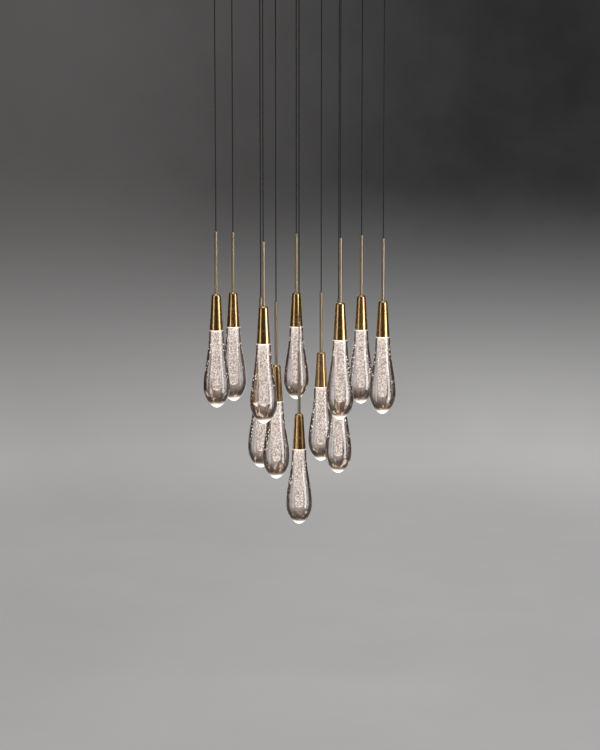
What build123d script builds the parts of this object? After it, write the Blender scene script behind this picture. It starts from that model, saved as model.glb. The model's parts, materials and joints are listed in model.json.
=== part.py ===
"""Glass chandelier: solid glass drops in brass caps, hung on black cords from a round ceiling canopy.

Millimetres, +Z up. The origin is the middle of the face that bears on the ceiling.
"""
from build123d import *
import os
from itertools import cycle
from math import cos, radians, sin

# Rings of cords, seen from above, with angles counted from +X
OUTER_COUNT = 7
OUTER_RADIUS = 225.0
OUTER_FIRST_ANGLE = 92.0
INNER_COUNT = 4
INNER_RADIUS = 120.0
INNER_FIRST_ANGLE = 60.0

# Free cord below the grips, and how much higher than that each drop was hung
OUTER_CORD = 650.0
INNER_CORD = 814.0
CENTRE_CORD = 962.0
OUTER_TRIMS = (-2.0, 5.0, 13.0, -8.0, 1.0, -6.0, -4.0)
INNER_TRIMS = (7.0, -4.0, -5.0, 2.0)

# Cord
CORD_DIAMETER = 3.0
CORD_CLEARANCE = 0.2
CORD_END_GAP = 0.3

# Stem
STEM_DIAMETER = 8.0
STEM_LENGTH = 163.0
STEM_BORE = 5.0
STEM_NECK_LENGTH = 14.0
STEM_EDGE_ROUNDING = 0.6
STEM_STANDOUT = 1.5
LEAD_DIAMETER = 2.4

# Brass cap: an upper cone, and the collar below its seam
CAP_LENGTH = 96.0
CAP_WALL = 1.6
CAP_TOP_RADIUS = 12.2
CAP_EDGE_RADIUS = 17.9
CAP_DOME_HEIGHT = 8.0
CAP_DOME_WIDTH = 7.2
COLLAR_LENGTH = 33.0
SEAM_GAP = 0.4
SOCKET_DEPTH = 10.0
FIT_CLEARANCE = 0.1
CAP_NUT_THICKNESS = 4.0
CAP_NUT_RADIUS = 7.5

# Glass drop: depths are below the cap's edge, and pulls shape the curves of its outline
DROP_RADIUS = 35.0
DROP_LENGTH = 205.0
DROP_WIDEST_DEPTH = 151.5
DROP_SHOULDER_RADIUS = 19.1
DROP_SHOULDER_DEPTH = 3.0
DROP_NECK_DEPTH = 1.2
DROP_NECK_INSET = 0.7
DROP_NECK_FLARE = 1.4
DROP_NECK_PULL = 67.0
DROP_FLANK_PULL = 46.5
DROP_BELLY_PULL = 28.5
DROP_TIP_PULL = 14.0
CORE_TOP_RADIUS = 9.7
CORE_FOOT_RADIUS = 7.8
CORE_DEPTH = 158.0
SPIGOT_LENGTH = 14.0
SPIGOT_RADIUS = 15.0
SPIGOT_CHAMFER = 1.0
SPIGOT_CLEARANCE = 0.2

# Light engine in each cap
SINK_FLANGE_THICKNESS = 2.0
SINK_FLANGE_CLEARANCE = 0.5
SINK_LENGTH = 16.0
CHIP_BOARD_THICKNESS = 1.6
CHIP_BOARD_INSET = 1.0
LENS_HEIGHT = 6.0
LENS_RIM = 1.5

# Canopy pan
CANOPY_MARGIN = 25.0
CANOPY_DEPTH = 45.0
CANOPY_WALL = 1.5
CANOPY_EDGE_ROUNDING = 5.0
CANOPY_RIM_GAP = 1.0

# Ceiling plate and what hangs the pan from it
PLATE_THICKNESS = 3.0
PLATE_INSET = 30.0
PLATE_BLIND_HOLE_DEPTH = 2.4
CEILING_SCREW_COUNT = 4
CEILING_SCREW_CIRCLE = 300.0
CEILING_SCREW_HOLE = 6.5
CEILING_SCREW_FIRST_ANGLE = 45.0
STUD_COUNT = 4
STUD_DIAMETER = 6.0
STUD_FIRST_ANGLE = 75.0
STUD_HOLE_CLEARANCE = 0.3
STUD_END_LENGTH = 7.0
DOME_NUT_DIAMETER = 14.0
DOME_NUT_ROUNDING = 5.0
DOME_NUT_CROWN = 5.0

# Cord grips and their lock nuts
GRIP_SHANK_DIAMETER = 10.0
GRIP_FLANGE_DIAMETER = 16.0
GRIP_FLANGE_THICKNESS = 3.0
GRIP_BODY_LENGTH = 12.0
GRIP_MOUTH_DIAMETER = 9.0
GRIP_FLARE_DIAMETER = 6.5
GRIP_FLARE_LENGTH = 6.0
GRIP_NUT_THICKNESS = 5.0
GRIP_NUT_RADIUS = 8.5
GRIP_THREAD_STANDOUT = 4.0
GRIP_HOLE_CLEARANCE = 0.2

# Junction board and the cords' inner ends
HUB_OUTER_RADIUS = 64.0
HUB_INNER_RADIUS = 38.0
HUB_THICKNESS = 1.6
HUB_POST_COUNT = 3
HUB_POST_FIRST_ANGLE = 100.0
HUB_POST_LENGTH = 12.0
HUB_POST_RADIUS = 3.5
LEAD_LANDING = 8.0
LEAD_BEND_RADIUS = 11.0
CENTRE_LEAD_ANGLE = 270.0

# Driver, mains terminal, screws and cable bush under the ceiling plate
DRIVER_LENGTH = 130.0
DRIVER_WIDTH = 42.0
DRIVER_HEIGHT = 26.0
DRIVER_FOOT_LENGTH = 10.0
DRIVER_FOOT_THICKNESS = 3.0
DRIVER_END_GAP = 14.0
DRIVER_EDGE_ROUNDING = 2.0
TERMINAL_LENGTH = 18.0
TERMINAL_WIDTH = 32.0
TERMINAL_HEIGHT = 14.0
TERMINAL_POLES = 3
TERMINAL_WIRE_HOLE = 4.0
TERMINAL_GAP = 18.0
TERMINAL_SETBACK = 20.0
SCREW_DIAMETER = 3.0
SCREW_HEAD_DIAMETER = 5.5
SCREW_HEAD_HEIGHT = 2.0
BUSH_BORE = 10.0
BUSH_WALL = 2.0
BUSH_FLANGE_DIAMETER = 20.0
BUSH_FLANGE_THICKNESS = 2.0
BUSH_TOP_GAP = 0.3
BUSH_GAP = 12.0

# Levels that follow from the sizes above
PAN_UNDERSIDE = -CANOPY_DEPTH
PAN_FLOOR = PAN_UNDERSIDE + CANOPY_WALL
GRIP_MOUTH = PAN_UNDERSIDE - GRIP_FLANGE_THICKNESS - GRIP_BODY_LENGTH
SWING_POINT = GRIP_MOUTH + GRIP_FLARE_LENGTH
GRIP_TOP = PAN_FLOOR + GRIP_NUT_THICKNESS + GRIP_THREAD_STANDOUT
HUB_UNDERSIDE = -PLATE_THICKNESS - HUB_POST_LENGTH - HUB_THICKNESS
LEAD_LEVEL = HUB_UNDERSIDE - CORD_DIAMETER / 2 - FIT_CLEARANCE

# Widths that follow from the sizes above
CORD_BORE = CORD_DIAMETER + 2 * CORD_CLEARANCE
SCREW_HOLE = SCREW_DIAMETER + 2 * FIT_CLEARANCE
CANOPY_RADIUS = OUTER_RADIUS + CANOPY_MARGIN
PLATE_RADIUS = CANOPY_RADIUS - PLATE_INSET
STUD_RADIUS = (OUTER_RADIUS + INNER_RADIUS) / 2
HUB_MIDDLE_RADIUS = (HUB_OUTER_RADIUS + HUB_INNER_RADIUS) / 2
BUSH_RADIUS = BUSH_BORE / 2 + BUSH_WALL

# Heights of a pendant, counted up from the edge of its cap
PENDANT_LENGTH = STEM_LENGTH + CAP_LENGTH
CORD_STOP = PENDANT_LENGTH - STEM_NECK_LENGTH
CAP_SHOULDER = CAP_LENGTH - CAP_DOME_HEIGHT
STEM_FOOT = CAP_SHOULDER - CAP_NUT_THICKNESS - STEM_STANDOUT
SOCKET_TOP = COLLAR_LENGTH + SOCKET_DEPTH
COLLAR_TOP = SOCKET_TOP - SEAM_GAP
SINK_TOP = COLLAR_TOP + FIT_CLEARANCE + SINK_FLANGE_THICKNESS
CHIP_BOARD_TOP = COLLAR_TOP - SINK_LENGTH - FIT_CLEARANCE
LENS_TOP = CHIP_BOARD_TOP - CHIP_BOARD_THICKNESS - FIT_CLEARANCE


def cap_radius(height):
    """Outer radius of the brass cap at a height above its edge."""
    return CAP_EDGE_RADIUS - (CAP_EDGE_RADIUS - CAP_TOP_RADIUS) * height / CAP_SHOULDER


SOCKET_RADIUS = cap_radius(SOCKET_TOP) - CAP_WALL
COLLAR_SPIGOT_RADIUS = SOCKET_RADIUS - FIT_CLEARANCE
SINK_RADIUS = COLLAR_SPIGOT_RADIUS - CAP_WALL - FIT_CLEARANCE
LENS_RADIUS = SINK_RADIUS - CHIP_BOARD_INSET


def ring_seat(radius, angle, level=0.0):
    """Point on a ring round the middle of the canopy."""
    return (radius * cos(radians(angle)), radius * sin(radians(angle)), level)


def ring_angles(count, first):
    """Evenly spaced angles of a ring."""
    return [first + 360.0 / count * step for step in range(count)]


def tier(count, radius, first_angle, cord, trims):
    """Radius, angle and cap edge level of each pendant in a tier."""
    edge = GRIP_MOUTH - cord - PENDANT_LENGTH
    angles = ring_angles(count, first_angle)
    return [(radius, angle, edge + trim) for angle, trim in zip(angles, cycle(trims))]


PENDANTS = tier(OUTER_COUNT, OUTER_RADIUS, OUTER_FIRST_ANGLE, OUTER_CORD, OUTER_TRIMS)
PENDANTS += tier(INNER_COUNT, INNER_RADIUS, INNER_FIRST_ANGLE, INNER_CORD, INNER_TRIMS)
PENDANTS += tier(1, 0.0, CENTRE_LEAD_ANGLE, CENTRE_CORD, (0.0,))
CORD_SEATS = [ring_seat(radius, angle) for radius, angle, edge in PENDANTS]
STUD_SEATS = [ring_seat(STUD_RADIUS, angle) for angle in ring_angles(STUD_COUNT, STUD_FIRST_ANGLE)]
HUB_POST_ANGLES = ring_angles(HUB_POST_COUNT, HUB_POST_FIRST_ANGLE)
HUB_POST_SEATS = [ring_seat(HUB_MIDDLE_RADIUS, angle) for angle in HUB_POST_ANGLES]

# The driver lies midway between the last two cords of the outer ring. On its plane x runs outwards,
# y towards the terminal and z down from the plate
DRIVER_ANGLE = OUTER_FIRST_ANGLE - 1.5 * 360.0 / OUTER_COUNT
UNDER_PLATE = Plane((0, 0, -PLATE_THICKNESS), x_dir=ring_seat(1.0, DRIVER_ANGLE), z_dir=(0, 0, -1))
DRIVER_START = HUB_OUTER_RADIUS + DRIVER_END_GAP
DRIVER_CASE_START = DRIVER_START + DRIVER_FOOT_LENGTH
DRIVER_MIDDLE = DRIVER_START + DRIVER_LENGTH / 2
DRIVER_SCREW_SPAN = DRIVER_LENGTH - DRIVER_FOOT_LENGTH
DRIVER_SCREW_SEATS = [(DRIVER_MIDDLE + side * DRIVER_SCREW_SPAN / 2, 0.0) for side in (-1, 1)]
TERMINAL_X = DRIVER_START + DRIVER_LENGTH - TERMINAL_SETBACK
TERMINAL_Y = DRIVER_WIDTH / 2 + TERMINAL_GAP + TERMINAL_WIDTH / 2
TERMINAL_POLE_PITCH = TERMINAL_WIDTH / TERMINAL_POLES
TERMINAL_SCREW_SEATS = [(TERMINAL_X, TERMINAL_Y + side * TERMINAL_POLE_PITCH / 2) for side in (-1, 1)]
BUSH_X = TERMINAL_X - TERMINAL_LENGTH / 2 - BUSH_GAP - BUSH_FLANGE_DIAMETER / 2
BUSH_Y = DRIVER_WIDTH / 2 + TERMINAL_GAP + BUSH_FLANGE_DIAMETER / 2


def write(node, label):
    """Names a finished node and writes it."""
    node.part.label = label
    export_step(node.part, f"parts/{label}.step")


def write_copies(pieces, seats, label):
    """Writes one node that holds a copy of each piece at every seat."""
    with BuildPart() as node:
        with Locations(*seats):
            for piece in pieces:
                add(piece.part)
    write(node, label)


os.makedirs("parts", exist_ok=True)

# Ceiling plate
with BuildPart() as ceiling_plate:
    with BuildSketch(Plane.XY.offset(-PLATE_THICKNESS)):
        Circle(PLATE_RADIUS)
        with PolarLocations(CEILING_SCREW_CIRCLE / 2, CEILING_SCREW_COUNT, CEILING_SCREW_FIRST_ANGLE):
            Circle(CEILING_SCREW_HOLE / 2, mode=Mode.SUBTRACT)
    extrude(amount=PLATE_THICKNESS)
    with BuildSketch(UNDER_PLATE):
        with Locations((BUSH_X, BUSH_Y)):
            Circle(BUSH_RADIUS + FIT_CLEARANCE)
    extrude(amount=-PLATE_THICKNESS, mode=Mode.SUBTRACT)
    with BuildSketch(UNDER_PLATE):
        with Locations(*DRIVER_SCREW_SEATS, *TERMINAL_SCREW_SEATS):
            Circle(SCREW_HOLE / 2)
    extrude(amount=-PLATE_BLIND_HOLE_DEPTH, mode=Mode.SUBTRACT)
write(ceiling_plate, "ceiling_plate")

# Canopy pan, open towards the ceiling
with BuildPart() as canopy_pan:
    with BuildSketch(Plane.XY.offset(PAN_UNDERSIDE)):
        Circle(CANOPY_RADIUS)
    extrude(amount=CANOPY_DEPTH - CANOPY_RIM_GAP)
    fillet(canopy_pan.edges().group_by(Axis.Z)[0], CANOPY_EDGE_ROUNDING)
    offset(amount=-CANOPY_WALL, openings=canopy_pan.faces().sort_by(Axis.Z)[-1])
    with BuildSketch(Plane.XY.offset(PAN_UNDERSIDE)):
        with Locations(*CORD_SEATS):
            Circle(GRIP_SHANK_DIAMETER / 2 + GRIP_HOLE_CLEARANCE)
        with Locations(*STUD_SEATS):
            Circle(STUD_DIAMETER / 2 + STUD_HOLE_CLEARANCE)
    extrude(amount=CANOPY_WALL, mode=Mode.SUBTRACT)
write(canopy_pan, "canopy_pan")

# Cord grip, screwed through the pan, with a flared mouth that lets the cord swing
with BuildPart() as cord_grip:
    with BuildSketch(Plane.XZ):
        with BuildLine():
            Polyline(
                (CORD_BORE / 2, GRIP_TOP),
                (GRIP_SHANK_DIAMETER / 2, GRIP_TOP),
                (GRIP_SHANK_DIAMETER / 2, PAN_UNDERSIDE),
                (GRIP_FLANGE_DIAMETER / 2, PAN_UNDERSIDE),
                (GRIP_FLANGE_DIAMETER / 2, PAN_UNDERSIDE - GRIP_FLANGE_THICKNESS),
                (GRIP_MOUTH_DIAMETER / 2, GRIP_MOUTH),
                (GRIP_FLARE_DIAMETER / 2, GRIP_MOUTH),
                (CORD_BORE / 2, SWING_POINT),
                close=True,
            )
        make_face()
    revolve(axis=Axis.Z)
write_copies([cord_grip], CORD_SEATS, "cord_grips")

# Lock nut of a cord grip, on the pan's floor
with BuildPart() as grip_nut:
    with BuildSketch(Plane.XY.offset(PAN_FLOOR)):
        RegularPolygon(GRIP_NUT_RADIUS, 6)
        Circle(GRIP_SHANK_DIAMETER / 2 + FIT_CLEARANCE, mode=Mode.SUBTRACT)
    extrude(amount=GRIP_NUT_THICKNESS)
write_copies([grip_nut], CORD_SEATS, "grip_nuts")

# Studs that carry the pan and posts that carry the junction board, welded under the plate
with BuildPart() as plate_studs:
    with BuildSketch(Plane.XY.offset(-PLATE_THICKNESS)):
        with Locations(*STUD_SEATS):
            Circle(STUD_DIAMETER / 2)
    extrude(amount=PLATE_THICKNESS - CANOPY_DEPTH - STUD_END_LENGTH)
    with BuildSketch(Plane.XY.offset(-PLATE_THICKNESS)):
        with Locations(*HUB_POST_SEATS):
            RegularPolygon(HUB_POST_RADIUS, 6)
            Circle(SCREW_HOLE / 2, mode=Mode.SUBTRACT)
    extrude(amount=-HUB_POST_LENGTH)
write(plate_studs, "plate_studs")

# Dome nut under the pan
with BuildPart() as dome_nut:
    with BuildSketch(Plane.XY.offset(PAN_UNDERSIDE)):
        Circle(DOME_NUT_DIAMETER / 2)
    extrude(amount=-STUD_END_LENGTH - DOME_NUT_CROWN)
    fillet(dome_nut.edges().group_by(Axis.Z)[0], DOME_NUT_ROUNDING)
    with BuildSketch(Plane.XY.offset(PAN_UNDERSIDE)):
        Circle(STUD_DIAMETER / 2 + FIT_CLEARANCE)
    extrude(amount=-STUD_END_LENGTH - FIT_CLEARANCE, mode=Mode.SUBTRACT)
write_copies([dome_nut], STUD_SEATS, "dome_nuts")

# Driver, with a foot at each end that is screwed to the plate
with BuildPart() as led_driver:
    with BuildSketch(UNDER_PLATE):
        with Locations((DRIVER_MIDDLE, 0)):
            Rectangle(DRIVER_LENGTH, DRIVER_WIDTH)
        with Locations(*DRIVER_SCREW_SEATS):
            Circle(SCREW_HOLE / 2, mode=Mode.SUBTRACT)
    extrude(amount=DRIVER_FOOT_THICKNESS)
    with BuildSketch(UNDER_PLATE):
        with Locations((DRIVER_MIDDLE, 0)):
            RectangleRounded(DRIVER_LENGTH - 2 * DRIVER_FOOT_LENGTH, DRIVER_WIDTH, DRIVER_EDGE_ROUNDING)
    extrude(amount=DRIVER_HEIGHT)
write(led_driver, "led_driver")

# Mains terminal with a wire hole for each pole
with BuildPart() as mains_terminal:
    with BuildSketch(UNDER_PLATE):
        with Locations((TERMINAL_X, TERMINAL_Y)):
            Rectangle(TERMINAL_LENGTH, TERMINAL_WIDTH)
        with Locations(*TERMINAL_SCREW_SEATS):
            Circle(SCREW_HOLE / 2, mode=Mode.SUBTRACT)
    extrude(amount=TERMINAL_HEIGHT)
    wire_end = (TERMINAL_X - TERMINAL_LENGTH / 2, TERMINAL_Y, TERMINAL_HEIGHT / 2)
    wire_origin = UNDER_PLATE.from_local_coords(wire_end)
    with BuildSketch(Plane(wire_origin, x_dir=(0, 0, 1), z_dir=UNDER_PLATE.x_dir)):
        with GridLocations(TERMINAL_HEIGHT, TERMINAL_POLE_PITCH, 1, TERMINAL_POLES):
            Circle(TERMINAL_WIRE_HOLE / 2)
    extrude(amount=TERMINAL_LENGTH / 4, mode=Mode.SUBTRACT)
write(mains_terminal, "mains_terminal")

# Junction board, a ring on which the cords' inner ends land
with BuildPart() as junction_board:
    with BuildSketch(Plane.XY.offset(HUB_UNDERSIDE)):
        Circle(HUB_OUTER_RADIUS)
        Circle(HUB_INNER_RADIUS, mode=Mode.SUBTRACT)
        with Locations(*HUB_POST_SEATS):
            Circle(SCREW_HOLE / 2, mode=Mode.SUBTRACT)
    extrude(amount=HUB_THICKNESS)
write(junction_board, "junction_board")


def under_plate_seats(seats, depth):
    """Points at a depth under the ceiling plate, from seats on the driver's plane."""
    return [UNDER_PLATE.from_local_coords((*seat, depth)) for seat in seats]


def add_screw(reach):
    """Adds a screw at each current location, its head below it and its shank above."""
    Cylinder(SCREW_HEAD_DIAMETER / 2, SCREW_HEAD_HEIGHT, align=(Align.CENTER, Align.CENTER, Align.MAX))
    Cylinder(SCREW_DIAMETER / 2, reach, align=(Align.CENTER, Align.CENTER, Align.MIN))


# Screws of the driver, the terminal and the junction board
with BuildPart() as inner_screws:
    with Locations(*under_plate_seats(DRIVER_SCREW_SEATS, DRIVER_FOOT_THICKNESS)):
        add_screw(DRIVER_FOOT_THICKNESS + PLATE_BLIND_HOLE_DEPTH - FIT_CLEARANCE)
    with Locations(*under_plate_seats(TERMINAL_SCREW_SEATS, TERMINAL_HEIGHT)):
        add_screw(TERMINAL_HEIGHT + PLATE_BLIND_HOLE_DEPTH - FIT_CLEARANCE)
    with Locations(*[ring_seat(HUB_MIDDLE_RADIUS, angle, HUB_UNDERSIDE) for angle in HUB_POST_ANGLES]):
        add_screw(HUB_THICKNESS + HUB_POST_LENGTH / 2)
write(inner_screws, "inner_screws")

# Inner ends of the cords, up through the grips and in to the junction board
with BuildPart() as canopy_leads:
    for radius, angle, edge in PENDANTS:
        landing = HUB_OUTER_RADIUS - LEAD_LANDING if radius else HUB_INNER_RADIUS + LEAD_LANDING
        foot = ring_seat(radius, angle, SWING_POINT)
        with BuildLine():
            FilletPolyline(
                foot,
                ring_seat(radius, angle, LEAD_LEVEL),
                ring_seat(landing, angle, LEAD_LEVEL),
                radius=LEAD_BEND_RADIUS,
            )
        with BuildSketch(Plane(foot)):
            Circle(CORD_DIAMETER / 2)
        sweep()
    # Driver to junction board
    output_end = (HUB_OUTER_RADIUS - LEAD_LANDING, 0, -PLATE_THICKNESS - LEAD_LEVEL)
    with BuildSketch(Plane(UNDER_PLATE.from_local_coords(output_end), z_dir=UNDER_PLATE.x_dir)):
        Circle(CORD_DIAMETER / 2)
    extrude(amount=DRIVER_CASE_START - HUB_OUTER_RADIUS + LEAD_LANDING)
    # Driver to mains terminal
    input_end = (TERMINAL_X, DRIVER_WIDTH / 2, TERMINAL_HEIGHT / 2)
    with BuildSketch(Plane(UNDER_PLATE.from_local_coords(input_end), z_dir=UNDER_PLATE.y_dir)):
        Circle(CORD_DIAMETER / 2)
    extrude(amount=TERMINAL_GAP)
write(canopy_leads, "canopy_leads")

# Rubber bush where the supply cable comes through the plate
with BuildPart() as cable_bush:
    with BuildSketch(UNDER_PLATE):
        with Locations((BUSH_X, BUSH_Y)):
            Circle(BUSH_FLANGE_DIAMETER / 2)
            Circle(BUSH_BORE / 2, mode=Mode.SUBTRACT)
    extrude(amount=BUSH_FLANGE_THICKNESS)
    with BuildSketch(UNDER_PLATE):
        with Locations((BUSH_X, BUSH_Y)):
            Circle(BUSH_RADIUS)
            Circle(BUSH_BORE / 2, mode=Mode.SUBTRACT)
    extrude(amount=BUSH_TOP_GAP - PLATE_THICKNESS)
write(cable_bush, "cable_bush")

# Stem of a pendant: the cord is held in its narrow neck
with BuildPart() as stem:
    with BuildSketch(Plane.XZ):
        with BuildLine():
            Polyline(
                (CORD_BORE / 2, PENDANT_LENGTH),
                (STEM_DIAMETER / 2, PENDANT_LENGTH),
                (STEM_DIAMETER / 2, STEM_FOOT),
                (STEM_BORE / 2, STEM_FOOT),
                (STEM_BORE / 2, CORD_STOP),
                (CORD_BORE / 2, CORD_STOP),
                close=True,
            )
        make_face()
    revolve(axis=Axis.Z)
    fillet(stem.edges().group_by(Axis.Z)[-1].sort_by(SortBy.RADIUS)[-1], STEM_EDGE_ROUNDING)

# Upper cone of the cap, hollow below its domed top
with BuildPart() as cap_cone:
    with BuildSketch(Plane.XZ):
        with BuildLine():
            dome = EllipticalCenterArc(
                (CAP_TOP_RADIUS - CAP_DOME_WIDTH, CAP_SHOULDER),
                CAP_DOME_WIDTH,
                CAP_DOME_HEIGHT,
                start_angle=0,
                arc_size=90,
            )
            Polyline(
                dome @ 1,
                (STEM_DIAMETER / 2 + FIT_CLEARANCE, CAP_LENGTH),
                (STEM_DIAMETER / 2 + FIT_CLEARANCE, CAP_SHOULDER),
                (CAP_TOP_RADIUS - CAP_WALL, CAP_SHOULDER),
                (SOCKET_RADIUS, SOCKET_TOP),
                (SOCKET_RADIUS, COLLAR_LENGTH + SEAM_GAP),
                (cap_radius(COLLAR_LENGTH + SEAM_GAP), COLLAR_LENGTH + SEAM_GAP),
                dome @ 0,
            )
        make_face()
    revolve(axis=Axis.Z)

# Collar below the seam, with a spigot up into the cone and a seat for the glass
with BuildPart() as cap_collar:
    with BuildSketch(Plane.XZ):
        with BuildLine():
            Polyline(
                (CAP_EDGE_RADIUS, 0),
                (cap_radius(COLLAR_LENGTH), COLLAR_LENGTH),
                (COLLAR_SPIGOT_RADIUS, COLLAR_LENGTH),
                (COLLAR_SPIGOT_RADIUS, COLLAR_TOP),
                (COLLAR_SPIGOT_RADIUS - CAP_WALL, COLLAR_TOP),
                (COLLAR_SPIGOT_RADIUS - CAP_WALL, SPIGOT_LENGTH + SPIGOT_CLEARANCE),
                (SPIGOT_RADIUS + SPIGOT_CLEARANCE, SPIGOT_LENGTH + SPIGOT_CLEARANCE),
                (SPIGOT_RADIUS + SPIGOT_CLEARANCE, 0),
                close=True,
            )
        make_face()
    revolve(axis=Axis.Z)

# Nut that holds the cone on the stem
with BuildPart() as cap_nut:
    with BuildSketch(Plane.XY.offset(CAP_SHOULDER - FIT_CLEARANCE)):
        RegularPolygon(CAP_NUT_RADIUS, 6)
        Circle(STEM_DIAMETER / 2 + FIT_CLEARANCE, mode=Mode.SUBTRACT)
    extrude(amount=-CAP_NUT_THICKNESS)

# Light engine: heat sink on the collar's spigot, chip board, lens and the lead up the stem
with BuildPart() as led_engine:
    with BuildSketch(Plane.XY.offset(SINK_TOP)):
        Circle(SOCKET_RADIUS - SINK_FLANGE_CLEARANCE)
    extrude(amount=-SINK_FLANGE_THICKNESS)
    with BuildSketch(Plane.XY.offset(SINK_TOP)):
        Circle(SINK_RADIUS)
    extrude(amount=COLLAR_TOP - SINK_LENGTH - SINK_TOP)
    with BuildSketch(Plane.XY.offset(CHIP_BOARD_TOP)):
        Circle(LENS_RADIUS)
    extrude(amount=-CHIP_BOARD_THICKNESS)
    with BuildSketch(Plane.XZ):
        with BuildLine():
            crown = EllipticalCenterArc(
                (0, LENS_TOP - LENS_RIM),
                LENS_RADIUS,
                LENS_HEIGHT - LENS_RIM,
                start_angle=270,
                arc_size=90,
            )
            Polyline(crown @ 1, (LENS_RADIUS, LENS_TOP), (0, LENS_TOP), crown @ 0)
        make_face()
    revolve(axis=Axis.Z)
    with BuildSketch(Plane.XY.offset(SINK_TOP + FIT_CLEARANCE)):
        Circle(LEAD_DIAMETER / 2)
    extrude(amount=CORD_STOP - CORD_END_GAP - SINK_TOP - FIT_CLEARANCE)


def bubble_column(clearance=0.0):
    """Column of bubbles down the middle of a drop, or with a clearance the bore around it."""
    with BuildPart() as column:
        with BuildSketch(Plane.XZ):
            with BuildLine():
                foot_centre = (0, CORE_FOOT_RADIUS - CORE_DEPTH)
                foot = CenterArc(foot_centre, CORE_FOOT_RADIUS + clearance, start_angle=270, arc_size=90)
                Polyline(foot @ 1, (CORE_TOP_RADIUS + clearance, SPIGOT_LENGTH), (0, SPIGOT_LENGTH), foot @ 0)
            make_face()
        revolve(axis=Axis.Z)
    return column.part


# Glass drop: a spigot up into the collar, a short neck, and the long teardrop round its column of bubbles
with BuildPart() as glass_drop:
    with BuildSketch(Plane.XZ):
        with BuildLine():
            neck_radius = CAP_EDGE_RADIUS - DROP_NECK_INSET
            shoulder = EllipticalCenterArc(
                (neck_radius, -DROP_SHOULDER_DEPTH),
                DROP_SHOULDER_RADIUS - neck_radius,
                DROP_SHOULDER_DEPTH - DROP_NECK_DEPTH,
                start_angle=0,
                arc_size=90,
            )
            Polyline(
                shoulder @ 1,
                (neck_radius, -FIT_CLEARANCE),
                (SPIGOT_RADIUS, -FIT_CLEARANCE),
                (SPIGOT_RADIUS, SPIGOT_LENGTH - SPIGOT_CHAMFER),
                (SPIGOT_RADIUS - SPIGOT_CHAMFER, SPIGOT_LENGTH),
                (0, SPIGOT_LENGTH),
                (0, -DROP_LENGTH),
            )
            Bezier(
                shoulder @ 0,
                (DROP_SHOULDER_RADIUS + DROP_NECK_FLARE, -DROP_SHOULDER_DEPTH - DROP_NECK_PULL),
                (DROP_RADIUS, DROP_FLANK_PULL - DROP_WIDEST_DEPTH),
                (DROP_RADIUS, -DROP_WIDEST_DEPTH),
            )
            Bezier(
                (DROP_RADIUS, -DROP_WIDEST_DEPTH),
                (DROP_RADIUS, -DROP_WIDEST_DEPTH - DROP_BELLY_PULL),
                (DROP_TIP_PULL, -DROP_LENGTH),
                (0, -DROP_LENGTH),
            )
        make_face()
    revolve(axis=Axis.Z)
    add(bubble_column(FIT_CLEARANCE), mode=Mode.SUBTRACT)
    add(bubble_column())

# Each pendant at its seat, and the cord that carries it
for number, (radius, angle, edge) in enumerate(PENDANTS, start=1):
    seat = ring_seat(radius, angle, edge)
    write_copies([stem, cap_cone, cap_collar, cap_nut], [seat], f"stem_and_cap_{number:02}")
    write_copies([led_engine], [seat], f"led_engine_{number:02}")
    write_copies([glass_drop], [seat], f"glass_drop_{number:02}")
    cord_top = SWING_POINT - CORD_END_GAP
    with BuildPart() as cord:
        with BuildSketch(Plane(ring_seat(radius, angle, cord_top))):
            Circle(CORD_DIAMETER / 2)
        extrude(amount=edge + CORD_STOP - cord_top)
    write(cord, f"cord_{number:02}")
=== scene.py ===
"""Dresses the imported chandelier: cords, brass, glass drops with their bubbles, canopy finishes and stage."""

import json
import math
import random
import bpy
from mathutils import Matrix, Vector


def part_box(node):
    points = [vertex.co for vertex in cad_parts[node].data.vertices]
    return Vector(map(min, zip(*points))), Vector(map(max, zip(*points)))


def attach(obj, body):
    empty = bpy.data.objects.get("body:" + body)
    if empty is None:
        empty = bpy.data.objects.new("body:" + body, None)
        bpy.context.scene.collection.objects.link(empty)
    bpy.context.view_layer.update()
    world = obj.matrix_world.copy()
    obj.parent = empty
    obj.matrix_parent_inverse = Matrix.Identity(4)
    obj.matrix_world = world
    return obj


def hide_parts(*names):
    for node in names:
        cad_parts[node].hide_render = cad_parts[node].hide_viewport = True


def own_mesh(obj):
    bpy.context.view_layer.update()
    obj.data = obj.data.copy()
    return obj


bl_info = {
    "name": "Glass Drop Chandelier",
    "version": (1, 0, 0),
    "blender": (4, 5, 0),
    "location": "View3D > Sidebar > Chandelier",
    "description": "Dresses a ceiling cluster of glass drops in brass caps on black cords",
    "category": "Object",
}

import bpy
from bpy.props import FloatProperty, FloatVectorProperty, IntProperty, PointerProperty
from mathutils import Matrix, Vector

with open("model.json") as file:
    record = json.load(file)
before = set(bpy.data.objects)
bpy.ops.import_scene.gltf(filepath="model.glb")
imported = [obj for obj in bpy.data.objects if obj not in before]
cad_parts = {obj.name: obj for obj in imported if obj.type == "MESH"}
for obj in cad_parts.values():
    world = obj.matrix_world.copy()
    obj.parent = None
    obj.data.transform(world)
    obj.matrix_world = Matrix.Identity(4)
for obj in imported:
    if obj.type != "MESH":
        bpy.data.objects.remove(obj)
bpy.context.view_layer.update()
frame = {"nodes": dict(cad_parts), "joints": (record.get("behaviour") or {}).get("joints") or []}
PENDANTS = sorted(name[-2:] for name in frame["nodes"] if name.startswith("glass_drop_"))
LIFT = next(joint["range_m"][1] for joint in frame["joints"] if joint["name"] == "height_01")
# Level at which the cords swing, in the mouths of their grips
SWING_LEVEL = -0.054
# Turn from one drop to the next, so that no two show the same side
TWIST = 2.4
# Height by which the collar's spigot reaches into the cone
CAP_LAP = 0.01
# Stage: level of the floor, distance of the wall and the height over which the wall darkens
FLOOR = -2.7
WALL = 7.0
FADE = 3.7


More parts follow.
